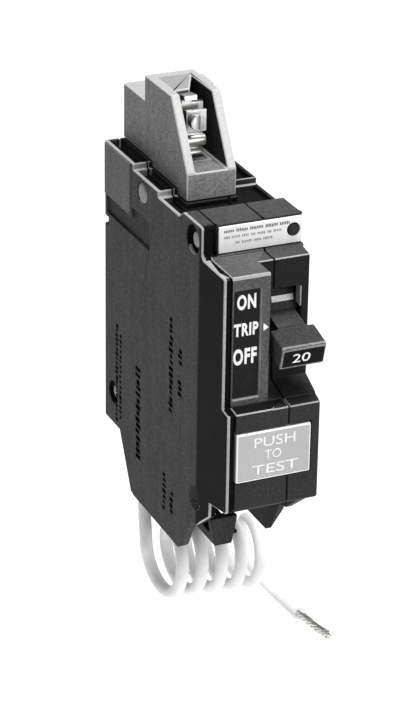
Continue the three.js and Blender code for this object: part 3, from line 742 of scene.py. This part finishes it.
def strip_cutters(tag):
    """The sunk strips along both sides of the line housing, and the band in front of it."""
    floors = ((1.2, STEP_BARS[0][0], -2.0), (STEP_BARS[0][1], STEP_BARS[1][0], -3.2),
              (STEP_BARS[1][1], BAND[1], BAND_FLOOR))
    pieces = [block(f"strip_{tag}", x0, x1, d0, d1, floor, 2)
              for x0, x1 in STRIPS for d0, d1, floor in floors]
    pieces.append(block(f"band_{tag}", STRIPS[0][0], STRIPS[1][1], *BAND, BAND_FLOOR, 2))
    return pieces


def near(d, z, centre, reach):
    """Whether a place on a side face lies within reach of a centre."""
    return math.hypot(d - centre[0], z - centre[1]) < reach


def in_strips(x, d, z, normal):
    along = 1.3 < d < 17.3 or 19.1 < d < 32.8 or 34.6 < d < 45.4
    sides = 1.0 < x < 4.5 or 17.9 < x < 24.4 or BAND[0] < d < BAND[1]
    return along and sides and -4.6 < z < -0.2 and 0.95 < x < 24.45


# Painted highlight on the tops and fronts of the step bars.
def on_step_bars(x, d, z, normal):
    left = x < 4.7 and any(d0 - 0.2 < d < d1 + 0.2 for d0, d1 in STEP_BARS)
    right = x > 20.5 and STEP_BARS[1][0] < d < STEP_BARS[1][1]
    return z > -3 and (left and (normal.z > 0.5 or normal.y < -0.5) or right and normal.z > 0.9)


def sunk_edge(d, z):
    """Edges of the sunk label space and the rivets' seats, on the left face."""
    label = 1 < d < 28.6 and -18.8 < z < -10.9
    seats = near(d, z, UPPER_SEAT, 4) or near(d, z, TOP_RIVET, 3.4)
    return label or seats


def make_left_cover():
    piece = from_node("left_cover", "cover")
    label_space = [(1.4, -14.0), (17.6, -14.0), (17.6, -11.3), (28.2, -11.3), (28.2, -18.4), (1.4, -18.4)]
    seats = [lathe("seat", "X", at, [(radius, -1), (radius, 1.4)])
             for at, radius in ((UPPER_SEAT, 3.5), (BACK_SEAT, 2.9))]
    carve(piece, slab("sunk", "X", label_space, -1, 0.7), block("riser_slot", *RISER_SLOT), *seats,
          *strip_cutters("left"))
    split_at(piece, ("X", 0.6), ("D", 59.6), ("Z", -41.5))
    round_edges(piece, 0.25)
    # Painted highlight along the cover's lit rounded edges, its narrow front faces, its top rim and the step
    # bars.
    keep_edge_highlights(piece, lambda x, d, z: x < 0.7 and (z > -9.2 or d > 59) and not sunk_edge(d, z))
    # Painted shade in the sunk strips beside the housing.
    paint(piece, 2, in_strips)
    paint(piece, 1, on_step_bars)
    paint(piece, 1, lambda x, d, z, n: x < 0.62 and d > 58 and n.y < -0.4)
    paint(piece, 1, lambda x, d, z, n: x < 0.95 and n.z > 0.7 and z > -9.5)
    # Painted shade in the riser slot.
    paint(piece, 2, lambda x, d, z, n: 0.7 < x < 3.9 and 57.8 < d < 59.2 and -8.3 < z < -1.6)
    # Painted shade on the floor of the sunk label space.
    paint(piece, 3, lambda x, d, z, n: 0.05 < x < 0.75 and 1.3 < d < 28.4 and -18.6 < z < -11)
    # Painted shade in the rivets' seats.
    paint(piece, 2, lambda x, d, z, n: 0.05 < x < 1.5 and near(d, z, UPPER_SEAT, 3.6))
    paint(piece, 2, lambda x, d, z, n: 0.05 < x < 1.5 and near(d, z, BACK_SEAT, 3.0))
    looks = ["cover", "case_edge_highlight", "case_painted_shade", "sunk"]
    finish_piece(piece, "case", looks, ("left_cover",), 0)


def lit_front_edge(x, d, z):
    """The top front edges that catch the light: over the window, the column and the test button."""
    over_window = d > 71.3 and -9.6 < z < -8.3 and 2 < x < 11.8
    over_column = 64.6 < d < 65.6 and -9.4 < z < -8.2 and x > 11.7
    over_button = d > 73 and -42.2 < z < -40.5
    ledge_left = 59 < d < 72 and z > -9.2 and x < 2.6
    return over_window or over_column or over_button or ledge_left


def on_column_front(x, d, z, normal):
    """The flat face beside and above the handle, which takes painted shade."""
    return normal.y < -0.8 and 64.9 < d < 65.4 and -40 < z < -9 and x > 11.7


def ejector_marks(tag, along, centres, outside, inside):
    """Shallow round marks that the mould's ejector pins leave."""
    profile = [(EJECTOR_RADIUS, outside), (EJECTOR_RADIUS, inside)]
    return [lathe(f"ejector_{tag}", along, centre, profile, 28) for centre in centres]


def back_marks(tag, across):
    """The column of ejector marks down the flat back."""
    return ejector_marks(tag, "Y", [(across, height) for height in (-10.0, -38.0, -66.0)], -1, MARK_DEPTH)


def make_centre_case():
    piece = from_node("centre_case", "centre")
    carve(piece, block("riser_slot", *RISER_SLOT), *strip_cutters("centre"), *back_marks("centre", 9.6))
    round_edges(piece, 0.25)
    # Painted highlight along the lit rounded front edges and the step bars.
    keep_edge_highlights(piece, lit_front_edge)
    # Painted shade in the sunk strips beside the housing.
    paint(piece, 2, in_strips)
    paint(piece, 1, on_step_bars)
    # Painted light: the window block's front faces take a lighter copy of the case plastic.
    paint(piece, 3, lambda x, d, z, n: d > 71.5 and n.y < -0.6 and z > -40.4)
    # Painted highlight on the window's right and bottom reveals.
    paint(piece, 1, lambda x, d, z, n: 9.2 < x < 9.6 and 70 < d < 72 and n.x < -0.5)
    paint(piece, 1, lambda x, d, z, n: 2.5 < x < 9.6 and 70 < d < 72 and -39.4 < z < -38.8 and n.z > 0.5)
    # Painted shade on the lower nose's top, in front of the window block.
    paint(piece, 2, lambda x, d, z, n: 72 < d < 75 and -41.6 < z < -40.4 and n.z > 0.5 and x < 11.7)
    # Painted light: the ledge top left of the handle takes a lighter copy of the case plastic.
    paint(piece, 3, lambda x, d, z, n: n.z > 0.8 and 59 < d < 72 and -9.4 < z < -8 and x < 11.7)
    # Painted light: the flat tops take a lighter copy of the case plastic.
    paint(piece, 4, lambda x, d, z, n: n.z > 0.8 and 45.6 < d < 59.2 and z > -1.2)
    paint(piece, 4, lambda x, d, z, n: n.z > 0.5 and 59.2 < d < 65.4 and -10.5 < z < -8 and x > 11.7)
    # Painted shade: the column's front takes the darker window plastic.
    paint(piece, 5, on_column_front)
    looks = ["case", "case_edge_highlight", "case_painted_shade", "case_lit_mid", "case_lit_top", "window"]
    finish_piece(piece, "case", looks, ("centre_case",), 0)


def make_right_case():
    piece = from_node("right_case", "right")
    panel = [(13.0, -24.0), (48.0, -24.0), (48.0, -52.0), (42.0, -58.0), (13.0, -58.0)]
    marks = [(8.0, -20.0), (36.0, -14.0), (52.0, -40.0), (30.0, -78.0), (14.0, -70.0)]
    carve(piece, slab("right_panel", "X", panel, WIDTH - 0.35, WIDTH + 1), *strip_cutters("right"),
          *ejector_marks("right", "X", marks, WIDTH + 1, WIDTH - MARK_DEPTH),
          *back_marks("right_back", 20.5))
    round_edges(piece, 0.25)
    # Painted highlight along the lit rounded front edges and the step bars.
    keep_edge_highlights(piece, lit_front_edge)
    # Painted shade in the sunk strips beside the housing.
    paint(piece, 2, in_strips)
    paint(piece, 1, on_step_bars)
    # Painted light: the flat tops take a lighter copy of the case plastic.
    paint(piece, 3, lambda x, d, z, n: n.z > 0.8 and 45.6 < d < 59.2 and z > -1.2)
    paint(piece, 3, lambda x, d, z, n: n.z > 0.5 and 59.2 < d < 65.4 and -10.5 < z < -8)
    # Painted shade: the column's front takes the darker window plastic.
    paint(piece, 4, on_column_front)
    looks = ["case", "case_edge_highlight", "case_painted_shade", "case_lit_top", "window"]
    finish_piece(piece, "case", looks, ("right_case",), 0)


def make_seam_tongue():
    """The tongue that closes the seam between the case halves, inside the back and bottom walls."""
    outer = [(0.5, -0.8), (0.5, -74.2), (9.5, -74.2), (17.0, -88.0), (18.9, -88.5), (47.2, -88.7)]
    inner = [(47.2, -87.9), (19.2, -87.7), (17.6, -87.2), (10.1, -73.4), (1.4, -73.4), (1.4, -0.8)]
    piece = slab("seam_tongue", "X", outer + inner, 15.0, 16.0)
    round_edges(piece, 0.08)
    # Painted shade: the tongue takes the near-black shaded plastic, so the seam between the halves reads
    # dark.
    finish_piece(piece, "case", ["case_painted_shade", "case_painted_shade"], (), 0)


make_left_cover()
make_centre_case()
make_right_case()
make_seam_tongue()


# ------------------------------------------------------------------ line housing and its terminal
def make_housing():
    piece = from_node("line_housing", "housing")
    # The rounding takes the light edge material, as a painted highlight.
    round_edges(piece, 0.35, 3)
    split_at(piece, ("X", 7.0), ("D", 16.5))
    # Painted light on the sloped fronts.
    paint(piece, 2, lambda x, d, z, n: n.y < -0.4 and n.z > 0.3 and z > 4.0)
    # Painted light on the cap's top.
    paint(piece, 6, lambda x, d, z, n: n.z > 0.8 and z > 20 and 7.0 < x < 15.4 and d > 16.5)
    # Painted light on the housing's tops.
    paint(piece, 5, lambda x, d, z, n: n.z > 0.8 and z > 13.5)
    # Painted shade on the slot's inner walls.
    paint(piece, 4, lambda x, d, z, n: 6.9 < x < 15.3 and d > 16.4 and 4.4 < z < 19.8 and n.z < 0.3)
    # Painted light on the housing's front faces.
    paint(piece, 3, lambda x, d, z, n: n.y < -0.8 and d > 39)
    looks = ["housing", "housing_edge_highlight", "housing_rim_lit", "housing_front_lit", "housing_inside_shade", "housing_top_lit",
             "housing_cap_lit"]
    finish_piece(piece, "case", looks, ("line_housing",), 0)


make_housing()
slot_sill = block("slot_sill", 7.2, 14.0, 28.9, 31.9, 3.5, 4.2)
round_edges(slot_sill, 0.1)
# The sill's rounding takes the light edge material, as a painted highlight.
finish_piece(slot_sill, "case", ["housing", "housing_edge_highlight"], (), 0)

for node in ("line_strap", "neutral_lug", "load_lug"):
    rounded_copy(node, ["tin"], 0.15)
for node in ("line_clamp", "line_screw", "neutral_clamp", "neutral_screw", "load_clamp", "load_screw"):
    rounded_copy(node, ["steel"], 0.15)
rounded_copy("pigtail_bushing", ["case", "case"], 0.3)


# ------------------------------------------------------------------ handle
PIVOT = (55.5, -23.0)
HANDLE_REST = 16                  # degrees that the handle hangs below straight out
HUB_RADIUS = 7.4


def turned(piece, degrees=HANDLE_REST):
    """Turns a piece about the handle's axis; positive lowers its front."""
    centre = spot(0, *PIVOT)
    turn = Matrix.Rotation(math.radians(degrees), 4, "X")
    piece.data.transform(Matrix.Translation(centre) @ turn @ Matrix.Translation(-centre))
    return piece


handle_piece = from_node("handle")
round_edges(handle_piece, 0.4, 3)
# Painted highlight: the rounded front edges keep the light edge material.
keep_edge_highlights(handle_piece, lambda x, d, z: d > 74.5)
# Painted shade: the handle's front faces take the near-black shaded plastic.
paint(handle_piece, 2, lambda x, d, z, n: n.y < -0.8 and d > 70)
finish_piece(handle_piece, "handle", ["handle", "handle_edge_highlight", "case_painted_shade"], ("handle",))


# ------------------------------------------------------------------ lettering and printed marks
WINDOW_FRONT = 71.2               # depth of the faces that carry lettering
BUTTON_FRONT = 75.8
HANDLE_NOSE = PIVOT[0] + 21.15
LABEL_FRONT = 59.45
LETTER_ROOT = 0.05                # how far letters reach into the face under them


def lettering(name, text, centre, size, proud, face_depth, boldness=0.0, spacing=1.0):
    """Raised letters on a front face, fitted to size (across, height) round centre (across, height)."""
    data = bpy.data.curves.new(name, "FONT")
    data.body = text
    data.align_x = "CENTER"
    data.align_y = "CENTER"
    data.offset = boldness
    data.space_character = spacing
    data.extrude = 0.05
    data.resolution_u = 4
    letters = bpy.data.objects.new(name, data)
    bpy.context.scene.collection.objects.link(letters)
    mesh = evaluated_mesh(letters)
    bpy.data.objects.remove(letters)
    low = [min(v.co[i] for v in mesh.vertices) for i in range(3)]
    high = [max(v.co[i] for v in mesh.vertices) for i in range(3)]
    for vertex in mesh.vertices:
        share = [(vertex.co[i] - low[i]) / (high[i] - low[i]) for i in range(3)]
        vertex.co = spot(centre[0] + (share[0] - 0.5) * size[0],
                         face_depth - LETTER_ROOT + share[2] * (proud + LETTER_ROOT),
                         centre[1] + (share[1] - 0.5) * size[1])
    mesh.name = name
    weld(mesh)
    return new_object(name, mesh)


def marked(piece, material, body="case"):
    """Finishes a letter or a mark, which replaces no CAD node."""
    piece.data.materials.clear()
    finish_piece(piece, body, [material])


for name, text, centre, size in (("word_on", "ON", (5.9, -15.1), (4.7, 3.7)),
                                 ("word_trip", "TRIP", (5.9, -21.9), (6.1, 3.1)),
                                 ("word_off", "OFF", (5.75, -28.6), (5.9, 4.0))):
    marked(lettering(name, text, centre, size, 0.2, WINDOW_FRONT, 0.035, 1.14), "white_ink")
rating = lettering("rating", "20", (17.9, -23.2), (4.4, 2.5), 0.12, HANDLE_NOSE)
marked(turned(rating), "white_ink", body="handle")
for name, text, centre, size in (("word_push", "PUSH", (11.8, -48.9), (10.4, 2.5)),
                                 ("word_to", "TO", (11.4, -52.3), (4.2, 2.3)),
                                 ("word_test", "TEST", (12.0, -55.9), (11.6, 2.4))):
    marked(lettering(name, text, centre, size, 0.06, BUTTON_FRONT), "pale_mark", body="test_button")

marked(slab("trip_tick", "Y", [(9.9, -20.7), (11.2, -21.9), (9.9, -22.6)], 71.9, 72.15), "white_ink")
HUB_BAR = [(-0.15, -0.75), (0.12, -0.68), (0.12, 0.68), (-0.15, 0.75)]      # from the hub's front
hub_outline = [(PIVOT[0] + HUB_RADIUS + out, PIVOT[1] + up) for out, up in HUB_BAR]
marked(turned(slab("hub_bar", "X", hub_outline, 16.4, 21.9), -24), "white_ink", body="handle")
# The rib stands between the stem's side and the slot's wall, forward of the hub.
marked(block("slot_rib", 22.3, 22.62, 63.0, 65.2, -21.2, -16.3), "grey_ink")

# Each row of the label: height, tallness, where it starts, the lengths of its words, and its ink.
FINE_PRINT = (
    (-2.6, 0.85, 5.4, (2.6, 3.0, 3.4, 3.2, 2.6), "dark_ink"),
    (-4.1, 0.70, 5.4, (1.5, 2.1, 1.8, 1.2, 2.0, 1.1, 2.1), "grey_ink"),
    (-5.6, 0.70, 8.3, (1.1, 2.6, 1.9, 2.4), "grey_ink"),
)


def make_fine_print():
    """Rows of short bars in place of the label's small print."""
    chance = random.Random(7)
    for row, (height, tall, start, words, tone) in enumerate(FINE_PRINT):
        bars = []
        across = start
        for length in words:
            strokes = max(2, round(length / 0.42))
            for k in range(strokes):
                low = height - tall / 2 * chance.uniform(0.7, 1.0)
                high = height + tall / 2 * chance.uniform(0.6, 1.0)
                x0 = across + length * k / strokes
                x1 = x0 + 0.26
                outline = [(x0, low), (x1, low), (x1, high), (x0, high)]
                bars.append(slab("bar", "Y", outline, LABEL_FRONT, 59.53))
            across += length + 0.45
        marked(join_pieces(f"fine_print_{row + 1}", bars), tone)


make_fine_print()


# ------------------------------------------------------------------ marks on the left cover
def mark_column(name, depth, width, spans, step, seed):
    """A column of small unlettered moulded marks down the left face."""
    chance = random.Random(seed)
    pads = []
    for top, bottom in spans:
        z = top
        while z - step * 0.6 > bottom:
            tall = step * chance.uniform(0.5, 0.85)
            d0 = depth - width / 2 + chance.uniform(0, 0.3) * width
            d1 = depth + width / 2 - chance.uniform(0, 0.3) * width
            outline = [(d0, z), (d1, z - 0.1), (d1, z - tall), (d0, z - tall + 0.1)]
            pads.append(slab("pad", "X", outline, -0.05, 0.3))
            z -= step
    marked(join_pieces(name, pads), "black_mark")


mark_column("marks_back", 7.9, 1.8, [(-46, -73)], 1.3, 2)
mark_column("marks_back_2", 10.4, 1.6, [(-48, -72)], 1.4, 3)
mark_column("marks_middle", 22.0, 3.4, [(-52, -78)], 1.7, 4)
mark_column("marks_front", 42.3, 2.6, [(-30, -55)], 1.6, 5)
mark_column("marks_front_2", 47.8, 2.6, [(-36, -41), (-44.2, -48.6)], 1.5, 6)
mark_column("marks_foot", 38.8, 2.2, [(-73, -84)], 1.5, 7)
mark_column("marks_foot_2", 43.4, 2.2, [(-76, -82)], 1.6, 8)

cover_patch = block("cover_patch", -0.3, 0.2, 0.4, 16.6, -13.6, -0.4)
round_edges(cover_patch, 0.12)
finish_piece(cover_patch, "case", ["patch", "patch"], (), 0)


# ------------------------------------------------------------------ rivets, label and other CAD nodes
SHANK_RADIUS = 1.5


def make_rivet(index, at, start, far, head, sunk):
    """A through rivet: a domed head of radius head at start, and a rolled end at far."""
    profile = [(head * 0.55, start), (head * 0.9, start + 0.12), (head, start + 0.35), (head, start + sunk),
               (SHANK_RADIUS, start + sunk), (SHANK_RADIUS, far - 0.6), (2.5, far - 0.6),
               (2.6, far - 0.3), (2.1, far)]
    piece = lathe(f"rivet_{index}", "X", at, profile)
    finish_piece(piece, "case", ["rivet"], (f"case_rivet_{index}",), 35)


make_rivet(1, TOP_RIVET, -0.1, 25.3, 2.5, 0.6)
make_rivet(2, (54.6, -5.6), 0.6, 25.3, 1.9, 0.8)
make_rivet(3, BACK_SEAT, 0.7, 25.3, 1.6, 0.7)
make_rivet(4, (69.5, -61.6), 1.5, 23.3, 1.6, 0.7)

rounded_copy("label_plate", ["label", "label"], 0.1, smooth=0)
# The button's rounded border takes the near-white edge material, as a painted highlight.
rounded_copy("test_button", ["button", "button_edge_highlight"], 0.35, smooth=0)
rounded_copy("window_panel", ["window", "window"], 0.1, smooth=0)

LOOK_OF_SLOT = {
    "case_black": "case", "housing_grey": "housing", "label_white": "label", "button_grey": "button",
    "handle_black": "handle", "zinc_steel": "steel", "tinned_copper": "tin", "copper": "copper",
    "contact_silver": "silver", "fibre": "fibre", "board_green": "board", "ferrite": "ferrite",
    "chip_black": "chip", "varistor_blue": "ceramic", "winding": "winding",
    "insulation_white": "insulation",
}
for name, node in frame["nodes"].items():
    if node.hide_render:
        continue
    node.data.materials.clear()
    node.data.materials.append(MATERIALS[LOOK_OF_SLOT[SLOT_OF[name]]])
